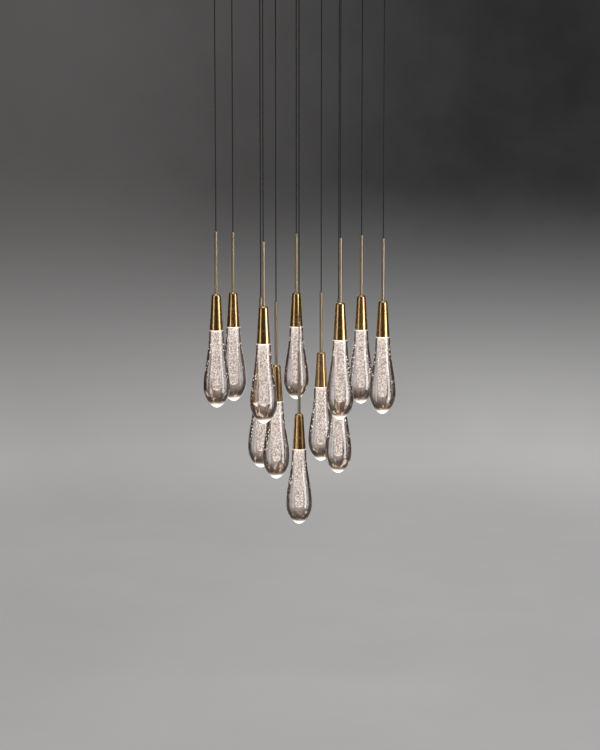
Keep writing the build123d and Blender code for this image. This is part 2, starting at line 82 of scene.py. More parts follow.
class ChandelierSizes(bpy.types.PropertyGroup):
    cord_diameter: FloatProperty(
        name="Cord Diameter", description="Thickness of a hanging cord", default=0.003, unit="LENGTH"
    )
    stem_radius: FloatProperty(
        name="Stem Radius", description="Outer radius of a brass stem", default=0.004, unit="LENGTH"
    )
    stem_bore: FloatProperty(
        name="Stem Bore", description="Radius of the hole that takes the cord", default=0.0017, unit="LENGTH"
    )
    stem_length: FloatProperty(
        name="Stem Length", description="Stem above the top of its cap", default=0.163, unit="LENGTH"
    )
    cap_length: FloatProperty(
        name="Cap Length", description="Height of the brass cap", default=0.096, unit="LENGTH"
    )
    cap_top_radius: FloatProperty(
        name="Cap Top Radius", description="Cap radius under its dome", default=0.0122, unit="LENGTH"
    )
    cap_edge_radius: FloatProperty(
        name="Cap Edge Radius", description="Cap radius at its lower edge", default=0.0179, unit="LENGTH"
    )
    cap_dome_height: FloatProperty(
        name="Cap Dome Height", description="Height of the rounded top", default=0.008, unit="LENGTH"
    )
    cap_dome_width: FloatProperty(
        name="Cap Dome Width", description="Width of the rounding at the top", default=0.0072, unit="LENGTH"
    )
    cap_wall: FloatProperty(
        name="Cap Wall", description="Wall of the cone and of the collar", default=0.0016, unit="LENGTH"
    )
    collar_length: FloatProperty(
        name="Collar Length", description="Cap below its seam", default=0.033, unit="LENGTH"
    )
    seam_gap: FloatProperty(
        name="Seam Gap", description="Fine gap between cone and collar", default=0.0004, unit="LENGTH"
    )
    edge_bevel: FloatProperty(
        name="Edge Bevel", description="Rounding of the turned edges", default=0.0003, unit="LENGTH"
    )
    drop_radius: FloatProperty(
        name="Drop Radius", description="Glass radius at its widest", default=0.035, unit="LENGTH"
    )
    drop_length: FloatProperty(
        name="Drop Length", description="Glass below the cap", default=0.205, unit="LENGTH"
    )
    drop_widest: FloatProperty(
        name="Widest Depth", description="Depth of the widest place", default=0.1515, unit="LENGTH"
    )
    shoulder_radius: FloatProperty(
        name="Shoulder Radius", description="Glass radius under the cap", default=0.0191, unit="LENGTH"
    )
    shoulder_depth: FloatProperty(
        name="Shoulder Depth", description="Depth of the rounded shoulder", default=0.003, unit="LENGTH"
    )
    neck_radius: FloatProperty(
        name="Neck Radius", description="Glass radius at the cap's edge", default=0.0172, unit="LENGTH"
    )
    spigot_radius: FloatProperty(
        name="Spigot Radius", description="Glass radius inside the collar", default=0.015, unit="LENGTH"
    )
    spigot_length: FloatProperty(
        name="Spigot Length", description="Glass inside the collar", default=0.014, unit="LENGTH"
    )
    core_top_radius: FloatProperty(
        name="Core Top Radius", description="Bubble column at its top", default=0.0097, unit="LENGTH"
    )
    core_foot_radius: FloatProperty(
        name="Core Foot Radius", description="Bubble column above its foot", default=0.0078, unit="LENGTH"
    )
    core_depth: FloatProperty(
        name="Core Depth", description="Depth of the column's foot", default=0.158, unit="LENGTH"
    )
    core_bubbles: IntProperty(
        name="Core Bubbles", description="Bubbles in the column of a drop", default=220, min=1
    )
    skin_bubbles: IntProperty(
        name="Skin Bubbles", description="Bubbles just under the surface of a drop", default=130, min=1
    )


class ChandelierFinishes(bpy.types.PropertyGroup):
    brass: FloatVectorProperty(
        name="Brass", description="Burnished caps", default=(0.66, 0.465, 0.205), subtype="COLOR"
    )
    brass_deep: FloatVectorProperty(
        name="Brass Shadow",
        description="Darker patches of the caps",
        default=(0.58, 0.40, 0.165),
        subtype="COLOR",
    )
    stem_brass: FloatVectorProperty(
        name="Stem Brass",
        description="Paler brass of the stems",
        default=(0.465, 0.387, 0.275),
        subtype="COLOR",
    )
    glass: FloatVectorProperty(
        name="Glass", description="Faint smoky tint of the drops", default=(0.94, 0.87, 0.85), subtype="COLOR"
    )
    # Painted shade on the edges of the drops, where they turn away
    painted_rim_shade: FloatVectorProperty(
        name="Glass Rim",
        description="Smoky edges of the drops",
        default=(0.016, 0.0085, 0.0075),
        subtype="COLOR",
    )
    bubble: FloatVectorProperty(
        name="Bubble", description="Silvery bubbles", default=(0.92, 0.88, 0.87), subtype="COLOR"
    )
    glow: FloatVectorProperty(
        name="Glow",
        description="Warm edge of the light at the tip",
        default=(0.92, 0.62, 0.37),
        subtype="COLOR",
    )
    cord: FloatVectorProperty(
        name="Cord", description="Black braid", default=(0.016, 0.016, 0.017), subtype="COLOR"
    )


# Shader values and the nodes behind them


class Wire:
    """A value on its way between shader nodes. Arithmetic on it adds the nodes."""

    def __init__(self, finish, socket):
        self.finish = finish
        self.socket = socket

    def output(self, name):
        """Another output of the same node."""
        return Wire(self.finish, self.socket.node.outputs[name])

    def maths(self, operation, first, second=0.0):
        return self.finish.node("ShaderNodeMath", {"operation": operation}, {0: first, 1: second})

    def __add__(self, other):
        return self.maths("ADD", self, other)

    def __radd__(self, other):
        return self.maths("ADD", other, self)

    def __sub__(self, other):
        return self.maths("SUBTRACT", self, other)

    def __rsub__(self, other):
        return self.maths("SUBTRACT", other, self)

    def __mul__(self, other):
        return self.maths("MULTIPLY", self, other)

    def __rmul__(self, other):
        return self.maths("MULTIPLY", other, self)

    def __truediv__(self, other):
        return self.maths("DIVIDE", self, other)

    def __rtruediv__(self, other):
        return self.maths("DIVIDE", other, self)

    def __pow__(self, other):
        return self.maths("POWER", self, other)

    def __rpow__(self, other):
        return self.maths("POWER", other, self)

    def larger(self, other):
        return self.maths("MAXIMUM", self, other)

    def sine(self):
        return self.maths("SINE", self)

    def between(self, low, high):
        """Rises smoothly from 0 at low to 1 at high."""
        limits = {"Value": self, "From Min": low, "From Max": high, "To Min": 0.0, "To Max": 1.0}
        return self.finish.node("ShaderNodeMapRange", {"interpolation_type": "SMOOTHSTEP"}, limits)


class Finish:
    """A material under construction."""

    def __init__(self, name):
        self.material = bpy.data.materials.new(name)
        self.material.use_nodes = True
        self.material.cycles.emission_sampling = "NONE"
        self.tree = self.material.node_tree
        self.tree.nodes.clear()

    def node(self, kind, settings=None, values=None, out=0):
        """Adds a node, with its inputs set or linked, and gives one of its outputs."""
        made = self.tree.nodes.new(kind)
        for key, setting in (settings or {}).items():
            setattr(made, key, setting)
        for key, value in (values or {}).items():
            if isinstance(value, Wire):
                self.tree.links.new(value.socket, made.inputs[key])
            else:
                made.inputs[key].default_value = value
        return Wire(self, made.outputs[out]) if made.outputs else None

    def place(self, scale=(1.0, 1.0, 1.0)):
        """Object coordinates, stretched."""
        where = self.node("ShaderNodeTexCoord", out="Object")
        return self.node("ShaderNodeMapping", None, {"Vector": where, "Scale": scale})

    def noise(self, where, scale, detail=2.0, roughness=0.5):
        values = {"Vector": where, "Scale": scale, "Detail": detail, "Roughness": roughness}
        return self.node("ShaderNodeTexNoise", None, values)

    def cells(self, where, scale, out="Distance"):
        """Distance to the nearest of scattered points, or another output of their cells."""
        return self.node("ShaderNodeTexVoronoi", {"feature": "F1"}, {"Vector": where, "Scale": scale}, out)

    def depth(self):
        """Depth below the cap's edge, as mark_depth keeps it."""
        return self.node("ShaderNodeAttribute", {"attribute_name": "depth"}, out="Fac")

    def colours(self, share, first, second):
        """Blends two colours."""
        values = {0: share, 6: self.colour(first), 7: self.colour(second)}
        return self.node("ShaderNodeMix", {"data_type": "RGBA"}, values, out=2)

    def colour(self, value):
        return value if isinstance(value, Wire) else (*value, 1.0)

    def bump(self, height, strength, distance):
        values = {"Height": height, "Strength": strength, "Distance": distance}
        return self.node("ShaderNodeBump", None, values)

    def surface(self, **values):
        """Ends the material in its one shader, with sockets named in lower case."""
        named = {key.replace("_", " ").title().replace("Ior", "IOR"): value for key, value in values.items()}
        for key in ("Base Color", "Emission Color"):
            if key in named:
                named[key] = self.colour(named[key])
        shader = self.node("ShaderNodeBsdfPrincipled", None, named)
        self.node("ShaderNodeOutputMaterial", None, {"Surface": shader})
        return self.material


def turned_brass(name, colour, deep, roughness, lacquer):
    """Brass turned on a lathe: fine rings, faint clouds of tarnish, and a share of lacquer."""
    finish = Finish(name)
    rings = finish.noise(finish.place((30.0, 30.0, 2600.0)), 1.0, 3.0, 0.6)
    clouds = finish.noise(finish.place(), 46.0, 3.0, 0.55)
    return finish.surface(
        base_color=finish.colours(clouds.between(0.35, 0.7), deep, colour),
        metallic=1.0,
        roughness=roughness + rings * 0.012 + clouds * 0.03 - 0.02,
        coat_weight=lacquer,
        coat_roughness=0.17,
        coat_ior=1.6,
        normal=finish.bump(rings, 0.02, 0.00002),
    )


def smoky_glass(sizes, finishes):
    """Solid glass, wavy from the blowing, lit white at its tip and at the joint with the cap."""
    finish = Finish("clear_glass")
    amber = (0.42, 0.28, 0.18)
    warm_white = (1.0, 0.95, 0.88)
    # Painted light: the rest of the glass glows faintly
    faint_glow = (0.003, 0.0026, 0.0025)
    end = sizes.drop_length
    depth = finish.depth()
    rim = finish.node("ShaderNodeLayerWeight", None, {"Blend": 0.5}, out="Facing")
    outside = 1.0 - finish.node("ShaderNodeNewGeometry", out="Backfacing")
    waves = finish.noise(finish.place((1.0, 1.0, 0.6)), 34.0, 1.0)
    # Beads in patches of the upper glass, with painted glints in the glow towards its edges
    patches = finish.noise(finish.place(), 22.0, 1.0).between(0.40, 0.56)
    upper = depth.between(0.004, 0.03) * (1.0 - depth.between(0.10, 0.15)) * patches
    beaded = (1.0 - finish.cells(finish.place(), 150.0).between(0.2, 0.34)) * upper
    sparkle = rim.between(0.16, 0.3) * outside * beaded
    # Painted shade darkens the edges as they turn away, more low on the belly, and the glass turns amber
    # towards the tip
    belly = depth.between(0.135, 0.185)
    edge = (rim + belly * 0.02).between(0.25, 0.41) * outside * (1.0 - beaded)
    tint = finish.colours(depth.between(0.132, 0.192), finishes.glass, amber)
    # Painted glints and dark flecks round the glass above the tip
    crown = depth.between(0.155, 0.172) * (1.0 - depth.between(0.189, 0.197))
    flecks = finish.noise(finish.place((1.0, 1.0, 0.45)), 88.0, 2.0)
    bright = flecks.between(0.56, 0.66) * crown
    dark = (1.0 - flecks.between(0.34, 0.46)) * crown
    # Light at the tip and at the joint
    below = depth + waves * 0.006 - 0.003
    tip = below.between(end - 0.026, end)
    hot = below.between(end - 0.016, end - 0.010)
    joint = 1.0 - depth.between(0.0015, 0.0032)
    pale = hot.larger(joint).larger(sparkle).larger(bright * 0.6)
    lit = finish.colours(pale, finishes.glow, warm_white)
    glow = (tip ** 2.5).larger(joint * 0.26).larger(sparkle * 0.45).larger(bright * outside * 0.2)
    return finish.surface(
        base_color=finish.colours(edge.larger(dark * 0.8) * (1.0 - bright), tint, finishes.painted_rim_shade),
        roughness=0.01,
        ior=1.5,
        transmission_weight=1.0,
        coat_weight=0.8,
        coat_roughness=0.03,
        coat_ior=1.7,
        emission_color=finish.colours(glow, faint_glow, lit),
        emission_strength=2.6,
        normal=finish.bump(waves * 0.9 + beaded * 0.2, 0.35, 0.003),
    )


def bubble_column(sizes, finishes):
    """Frothy column in the middle of a drop, open between its bubbles."""
    finish = Finish("bubble_column")
    gap = (0.40, 0.33, 0.32)
    gap_glow = (0.07, 0.055, 0.045)
    froth_glow = (0.78, 0.725, 0.66)
    where = finish.place((1.0, 1.0, 0.75))
    coarse = 1.0 - finish.cells(where, 270.0).between(0.4, 0.7)
    fine = 1.0 - finish.cells(where, 480.0).between(0.38, 0.68)
    clouds = finish.noise(where, 75.0, 2.0)
    froth = coarse * (0.15 + clouds) + fine * 0.4
    foot = finish.depth().between(sizes.core_depth - 0.009, sizes.core_depth)
    return finish.surface(
        base_color=finish.colours(froth, gap, finishes.bubble),
        roughness=0.45,
        alpha=froth * 0.4 + foot * 0.2 + 0.5,
        # Painted light: the froth glows, more at its foot
        emission_color=finish.colours(froth * 0.8 + foot * 0.3, gap_glow, froth_glow),
        emission_strength=1.0,
    )


def silver_bubbles(finishes):
    """Air bubbles, which mirror like silver inside glass."""
    finish = Finish("air_bubbles")
    shade = finish.noise(finish.place(), 900.0, 1.0)
    return finish.surface(
        base_color=finish.colours(shade, (0.7, 0.66, 0.65), finishes.bubble),
        metallic=0.9,
        roughness=0.08 + shade * 0.1,
        # A faint painted glow
        emission_color=finishes.bubble,
        emission_strength=0.08,
    )


def braided_cord(finishes):
    """Black cotton braid, crossing both ways round the cord."""
    finish = Finish("black_cord")
    strands = 8.0
    pitch = 420.0
    gap = (0.004, 0.004, 0.004)
    along = finish.node("ShaderNodeUVMap")
    around = finish.node("ShaderNodeSeparateXYZ", None, {"Vector": along})
    length = around.output("Y")
    one = ((around * strands + length * pitch) * math.tau).sine()
    two = ((around * strands - length * pitch) * math.tau).sine()
    weave = one.larger(two)
    fuzz = finish.noise(finish.place(), 1800.0, 2.0)
    thread = weave.between(-0.4, 1.0) * (0.5 + fuzz)
    return finish.surface(
        base_color=finish.colours(thread, gap, finishes.cord),
        roughness=0.62 + fuzz * 0.2,
        sheen_weight=0.15,
        normal=finish.bump(weave + fuzz * 0.4, 0.6, 0.0002),
    )


def satin_brass(finishes):
    """Spun sheet brass with rings round the middle of the canopy."""
    finish = Finish("satin_brass")
    where = finish.place()
    spun = finish.node("ShaderNodeTexWave", {"wave_type": "RINGS", "rings_direction": "Z"}, {
        "Vector": where,
        "Scale": 210.0,
        "Distortion": 2.5,
        "Detail": 3.0,
        "Detail Scale": 3.0,
    })
    clouds = finish.noise(where, 9.0, 4.0, 0.6)
    return finish.surface(
        base_color=finish.colours(clouds.between(0.3, 0.7), finishes.brass_deep, finishes.brass),
        metallic=1.0,
        roughness=0.27 + spun * 0.07 + clouds * 0.08,
        normal=finish.bump(spun, 0.08, 0.0002),
    )


def zinc_steel():
    """Zinc plated sheet with its faint crystals."""
    finish = Finish("plate_steel")
    crystals = finish.cells(finish.place(), 55.0, out="Color")
    grey = finish.node("ShaderNodeRGBToBW", None, {"Color": crystals})
    scuffs = finish.noise(finish.place((8.0, 120.0, 8.0)), 1.0, 4.0)
    return finish.surface(
        base_color=finish.colours(grey, (0.54, 0.55, 0.56), (0.63, 0.64, 0.65)),
        metallic=1.0,
        roughness=0.34 + grey * 0.05 + scuffs * 0.1,
        normal=finish.bump(grey, 0.05, 0.0003),
    )


def moulded(name, colour, worn, roughness):
    """Moulded plastic or rubber with a fine sparkled skin."""
    finish = Finish(name)
    skin = finish.noise(finish.place(), 2200.0, 2.0)
    clouds = finish.noise(finish.place(), 60.0, 3.0)
    return finish.surface(
        base_color=finish.colours(clouds, worn, colour),
        roughness=roughness + skin * 0.12,
        normal=finish.bump(skin, 0.15, 0.0002),
    )


def circuit_board():
    """Green lacquer over copper runs."""
    finish = Finish("board_green")
    where = finish.place()
    runs = finish.node("ShaderNodeTexBrick", {"offset": 0.5}, {
        "Vector": where,
        "Scale": 110.0,
        "Mortar Size": 0.03,
        "Color1": (0, 0, 0, 1),
        "Color2": (0, 0, 0, 1),
        "Mortar": (1, 1, 1, 1),
    }, out="Fac")
    clouds = finish.noise(where, 90.0, 2.0)
    return finish.surface(
        base_color=finish.colours(runs * 0.6 + clouds * 0.3, (0.012, 0.10, 0.035), (0.05, 0.24, 0.09)),
        roughness=0.28 + clouds * 0.15,
        normal=finish.bump(runs, 0.2, 0.0001),
    )


def light_engine():
    """Machined aluminium whose downward faces carry the lit chips and lens."""
    finish = Finish("light_engine")
    facing = finish.node("ShaderNodeNewGeometry", out="Normal")
    down = finish.node("ShaderNodeSeparateXYZ", None, {"Vector": facing}).output("Z")
    lit = 1.0 - down.between(-0.7, -0.1)
    turning = finish.noise(finish.place((60.0, 60.0, 3000.0)), 1.0, 2.0)
    return finish.surface(
        base_color=finish.colours(lit, (0.62, 0.62, 0.63), (0.95, 0.9, 0.8)),
        metallic=0.8 - lit * 0.8,
        roughness=0.25 + turning * 0.2,
        emission_color=finish.colours(lit, (0.0, 0.0, 0.0), (1.0, 0.86, 0.68)),
        emission_strength=2.0,
    )


# Modelling helpers


def start_fresh():
    """Leaves nothing selected, in object mode."""
    if bpy.context.object and bpy.context.object.mode != "OBJECT":
        bpy.ops.object.mode_set(mode="OBJECT")
    bpy.ops.object.select_all(action="DESELECT")


def start_circle(name, facets, radius, place, fill="NOTHING"):
    """Starts a piece as a circle, left in edit mode with all of it selected."""
    start_fresh()
    bpy.ops.mesh.primitive_circle_add(vertices=facets, radius=radius, fill_type=fill, location=place)
    piece = bpy.context.object
    piece.name = name
    bpy.ops.object.transform_apply(location=True, rotation=True, scale=True)
    bpy.ops.object.mode_set(mode="EDIT")
    bpy.ops.mesh.select_all(action="SELECT")
    return piece


def close_ends(join, smooth_to):
    """Joins the open rings of the piece in edit mode and shades it smooth up to an angle in degrees."""
    bpy.ops.mesh.select_all(action="DESELECT")
    bpy.ops.mesh.select_non_manifold()
    join()
    bpy.ops.mesh.select_all(action="SELECT")
    bpy.ops.mesh.normals_make_consistent(inside=False)
    bpy.ops.object.mode_set(mode="OBJECT")
    bpy.ops.object.shade_smooth_by_angle(angle=math.radians(smooth_to))


def turned(name, outline, facets, ring=False):
    """Turns an outline of radius and height points, ring by ring. A ring outline closes on itself."""
    radius, height = outline[0]
    piece = start_circle(name, facets, radius, (0, 0, height))
    for next_radius, next_height in outline[1:]:
        bpy.ops.mesh.extrude_region_move(TRANSFORM_OT_translate={"value": (0, 0, next_height - height)})
        if next_radius == 0.0:
            bpy.ops.mesh.merge(type="COLLAPSE")
        else:
            share = next_radius / radius
            bpy.ops.transform.resize(value=(share, share, 1.0), center_override=(0, 0, next_height))
        radius, height = next_radius, next_height
    close_ends(bpy.ops.mesh.bridge_edge_loops if ring else bpy.ops.mesh.edge_face_add, smooth_to=35.0)
    return piece


def bezier(points, count):
    """Points along a Bezier curve of radius and height points, after its first."""
    low = len(points) - 1
    curve = []
    for step in range(1, count + 1):
        t = step / count
        weights = [math.comb(low, i) * t**i * (1.0 - t) ** (low - i) for i in range(low + 1)]
        curve.append(tuple(sum(w * point[axis] for w, point in zip(weights, points)) for axis in (0, 1)))
    return curve


def arc(centre, width, height, start, end, count):
    """Points along an elliptical arc, its ends among them, in degrees from outwards."""
    angles = [math.radians(start + (end - start) * step / count) for step in range(count + 1)]
    return [(centre[0] + width * math.cos(a), centre[1] + height * math.sin(a)) for a in angles]


def mark_depth(piece):
    """Keeps how far each point lies below the cap's edge, for the finishes."""
    depths = piece.data.attributes.new("depth", "FLOAT", "POINT")
    for vertex in piece.data.vertices:
        depths.data[vertex.index].value = -vertex.co.z


def hang_copy(piece, name, pendant, turn=0.0):
    """Copies a piece to its pendant, with its place in the mesh."""
    copy = piece.copy()
    copy.data = piece.data.copy()
    copy.name = name
    copy.data.name = name
    copy.data.transform(Matrix.Translation(seat_of(pendant)) @ Matrix.Rotation(turn, 4, "Z"))
    bpy.context.scene.collection.objects.link(copy)
    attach(copy, "pendant_" + pendant)
    return copy


def discard(piece):
    """Removes a pattern after its copies are made."""
    mesh = piece.data
    bpy.data.objects.remove(piece)
    bpy.data.meshes.remove(mesh)


def seat_of(pendant):
    """Middle of the cap's lower edge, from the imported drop."""
    low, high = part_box("glass_drop_" + pendant)
    sizes = bpy.context.scene.chandelier_sizes
    return Vector(((low.x + high.x) / 2, (low.y + high.y) / 2, low.z + sizes.drop_length))


def finish_with(piece, material):
    """Gives a piece its one material."""
    piece.data.materials.clear()
    piece.data.materials.append(material)


def drop_outline(sizes):
    """Outline of the glass from the top of its spigot to its tip."""
    chamfer = 0.001
    joint_gap = 0.0001
    shoulder_drop = 0.0012
    flank_flare = 0.0014
    flank_upper_pull = 0.067
    flank_lower_pull = 0.0465
    belly_pull = 0.0285
    tip_pull = 0.014
    neck = (sizes.neck_radius, -sizes.shoulder_depth)
    rise = sizes.shoulder_radius - sizes.neck_radius
    outline = [
        (sizes.spigot_radius - chamfer, sizes.spigot_length),
        (sizes.spigot_radius, sizes.spigot_length - chamfer),
        (sizes.spigot_radius, -joint_gap),
        (sizes.neck_radius, -joint_gap),
    ]
    outline += arc(neck, rise, sizes.shoulder_depth - shoulder_drop, 90.0, 0.0, 5)
    flank = [
        (sizes.shoulder_radius, -sizes.shoulder_depth),
        (sizes.shoulder_radius + flank_flare, -sizes.shoulder_depth - flank_upper_pull),
        (sizes.drop_radius, flank_lower_pull - sizes.drop_widest),
        (sizes.drop_radius, -sizes.drop_widest),
    ]
    belly = [
        (sizes.drop_radius, -sizes.drop_widest),
        (sizes.drop_radius, -sizes.drop_widest - belly_pull),
        (tip_pull, -sizes.drop_length),
        (0.0, -sizes.drop_length),
    ]
    outline += bezier(flank, 22)
    outline += bezier(belly, 16)[:-1]
    outline.append((0.0, -sizes.drop_length))
    return outline


def glass_radius(sizes, depth):
    """Radius of the glass at a depth, between the points of its outline below the spigot."""
    spigot_points = 5
    outline = [(radius, -height) for radius, height in drop_outline(sizes)[spigot_points:]]
    for (near, above), (far, below) in zip(outline, outline[1:]):
        if above <= depth <= below:
            return near + (far - near) * (depth - above) / max(below - above, 1e-6)
    return outline[0][0]


# Pieces


class CHANDELIER_OT_cords(bpy.types.Operator):
    """Hang the straight black cords from their grips"""

    bl_idname = "chandelier.cords"
    bl_label = "Hang Cords"

    def execute(self, context):
        sizes = context.scene.chandelier_sizes
        braid = braided_cord(context.scene.chandelier_finishes)
        for pendant in PENDANTS:
            low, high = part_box("cord_" + pendant)
            x, y = (low.x + high.x) / 2, (low.y + high.y) / 2
            lead = 6.0 * sizes.cord_diameter
            heights = (high.z, high.z - lead, low.z + lead, low.z)
            path = self.read_route([(x, y, height) for height in heights])
            cord = self.draw_tube("braided_cord_" + pendant, path, sizes.cord_diameter / 2)
            finish_with(cord, braid)
            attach(cord, "line_" + pendant)
            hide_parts("cord_" + pendant)
            reach = SWING_LEVEL - low.z
            1.0 - LIFT / reach
            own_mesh(cord)
        return {"FINISHED"}

    def read_route(self, points):
        """Points along the smooth line of a cord."""
        curve = bpy.data.curves.new("route", "CURVE")
        curve.dimensions = "3D"
        spline = curve.splines.new("NURBS")
        spline.points.add(len(points) - 1)
        for control, point in zip(spline.points, points):
            control.co = (*point, 1.0)
        spline.order_u = 3
        spline.use_endpoint_u = True
        route = bpy.data.objects.new("route", curve)
        bpy.context.scene.collection.objects.link(route)
        graph = bpy.context.evaluated_depsgraph_get()
        line = bpy.data.meshes.new_from_object(route.evaluated_get(graph))
        path = [vertex.co.copy() for vertex in line.vertices]
        bpy.data.meshes.remove(line)
        bpy.data.objects.remove(route)
        bpy.data.curves.remove(curve)
        return path

    def draw_tube(self, name, path, radius):
        """Draws a circle along the path and lays the braid's map on it."""
        cord = start_circle(name, 12, radius, path[0])
        for here, there in zip(path, path[1:]):
            bpy.ops.mesh.extrude_region_move(TRANSFORM_OT_translate={"value": there - here})
        close_ends(bpy.ops.mesh.edge_face_add, smooth_to=50.0)
        self.lay_map(cord.data, path[0])
        return cord

    def lay_map(self, mesh, top):
        """Maps the tube as once round and metres along."""
        layer = mesh.uv_layers.active or mesh.uv_layers.new(name="braid")
        for face in mesh.polygons:
            corners = [mesh.vertices[mesh.loops[loop].vertex_index].co - top for loop in face.loop_indices]
            middle = math.atan2(face.center.y - top.y, face.center.x - top.x) / math.tau
            for loop, corner in zip(face.loop_indices, corners):
                turn = math.atan2(corner.y, corner.x) / math.tau
                layer.data[loop].uv = (turn + round(middle - turn), -corner.z)


class CHANDELIER_OT_brass(bpy.types.Operator):
    """Turn the stems, cones and collars"""

    bl_idname = "chandelier.brass"
    bl_label = "Turn Brass"

    def execute(self, context):
        sizes = context.scene.chandelier_sizes
        finishes = context.scene.chandelier_finishes
        burnished = turned_brass("burnished_brass", finishes.brass, finishes.brass_deep, 0.265, lacquer=1.0)
        aged = [0.92 * share for share in finishes.stem_brass]
        pale = turned_brass("stem_brass", finishes.stem_brass, aged, 0.36, lacquer=0.0)
        patterns = {
            "stem": (self.stem(sizes), pale),
            "cap_cone": (self.cone(sizes), burnished),
            "cap_collar": (self.collar(sizes), burnished),
        }
        for name, (pattern, material) in patterns.items():
            finish_with(pattern, material)
            for pendant in PENDANTS:
                piece = hang_copy(pattern, name + "_" + pendant, pendant)
                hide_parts("stem_and_cap_" + pendant)
            discard(pattern)
        return {"FINISHED"}

    def cap_radius(self, sizes, height):
        """Outer radius of the cap at a height above its lower edge."""
        slope = (sizes.cap_edge_radius - sizes.cap_top_radius) / (sizes.cap_length - sizes.cap_dome_height)
        return sizes.cap_edge_radius - slope * height

    def stem(self, sizes):
        """Tube from inside the cap to the neck that holds the cord."""
        reach = 0.0055
        bevel = 0.0006
        lead_bore = 0.0025
        mouth_flare = 0.0004
        mouth_depth = 0.0005
        neck_length = 0.014
        neck_end = 0.0145
        top = sizes.cap_length + sizes.stem_length
        foot = sizes.cap_length - sizes.cap_dome_height - reach
        outline = [(lead_bore, foot), (sizes.stem_radius - bevel, foot), (sizes.stem_radius, foot + bevel)]
        outline += arc((sizes.stem_radius - bevel, top - bevel), bevel, bevel, 0.0, 90.0, 4)
        outline += [
            (sizes.stem_bore + mouth_flare, top),
            (sizes.stem_bore, top - mouth_depth),
            (sizes.stem_bore, top - neck_length),
            (lead_bore, top - neck_end),
        ]
        return turned("stem", outline, 32, ring=True)

    def cone(self, sizes):
        """Upper part of the cap, with its dome."""
        stem_play = 0.0001
        bore_edge = 0.0002
        seam = sizes.collar_length + sizes.seam_gap
        shoulder = sizes.cap_length - sizes.cap_dome_height
        low_loop = seam + 0.015
        high_loop = shoulder - 0.02
        bevel = sizes.edge_bevel
        bore = sizes.stem_radius + stem_play
        inside = self.cap_radius(sizes, seam + CAP_LAP) - sizes.cap_wall
        outline = [
            (inside, seam),
            (self.cap_radius(sizes, seam) - bevel, seam),
            (self.cap_radius(sizes, seam), seam + bevel),
            (self.cap_radius(sizes, low_loop), low_loop),
            (self.cap_radius(sizes, high_loop), high_loop),
        ]
        middle = (sizes.cap_top_radius - sizes.cap_dome_width, shoulder)
        outline += arc(middle, sizes.cap_dome_width, sizes.cap_dome_height, 0.0, 90.0, 12)
        outline += [
            (bore, sizes.cap_length - bore_edge),
            (bore, shoulder),
            (sizes.cap_top_radius - sizes.cap_wall, shoulder),
            (inside, seam + CAP_LAP),
        ]
        return turned("cap_cone", outline, 64, ring=True)

    def collar(self, sizes):
        """Lower part of the cap, whose own spigot reaches into the cone."""
        glass_play = 0.0002
        cone_play = 0.0001
        spigot_rise = 0.0096
        bevel = sizes.edge_bevel
        length = sizes.collar_length
        top = length + spigot_rise
        step = sizes.spigot_length + glass_play
        seat = sizes.spigot_radius + glass_play
        spigot = self.cap_radius(sizes, length + CAP_LAP) - sizes.cap_wall - cone_play
        outline = [
            (seat, 0.0),
            (sizes.cap_edge_radius - bevel, 0.0),
            (sizes.cap_edge_radius, bevel),
            (self.cap_radius(sizes, length / 2), length / 2),
            (self.cap_radius(sizes, length - bevel), length - bevel),
            (self.cap_radius(sizes, length) - bevel, length),
            (spigot, length),
            (spigot, top),
            (spigot - sizes.cap_wall, top),
            (spigot - sizes.cap_wall, step),
            (seat, step),
        ]
        return turned("cap_collar", outline, 64, ring=True)


class CHANDELIER_OT_glass(bpy.types.Operator):
    """Blow the glass drops"""

    bl_idname = "chandelier.glass"
    bl_label = "Blow Glass"

    def execute(self, context):
        sizes = context.scene.chandelier_sizes
        pattern = turned("glass", drop_outline(sizes), 80)
        mark_depth(pattern)
        finish_with(pattern, smoky_glass(sizes, context.scene.chandelier_finishes))
        for number, pendant in enumerate(PENDANTS):
            drop = hang_copy(pattern, "glass_" + pendant, pendant, turn=TWIST * number)
            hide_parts("glass_drop_" + pendant)
        discard(pattern)
        return {"FINISHED"}


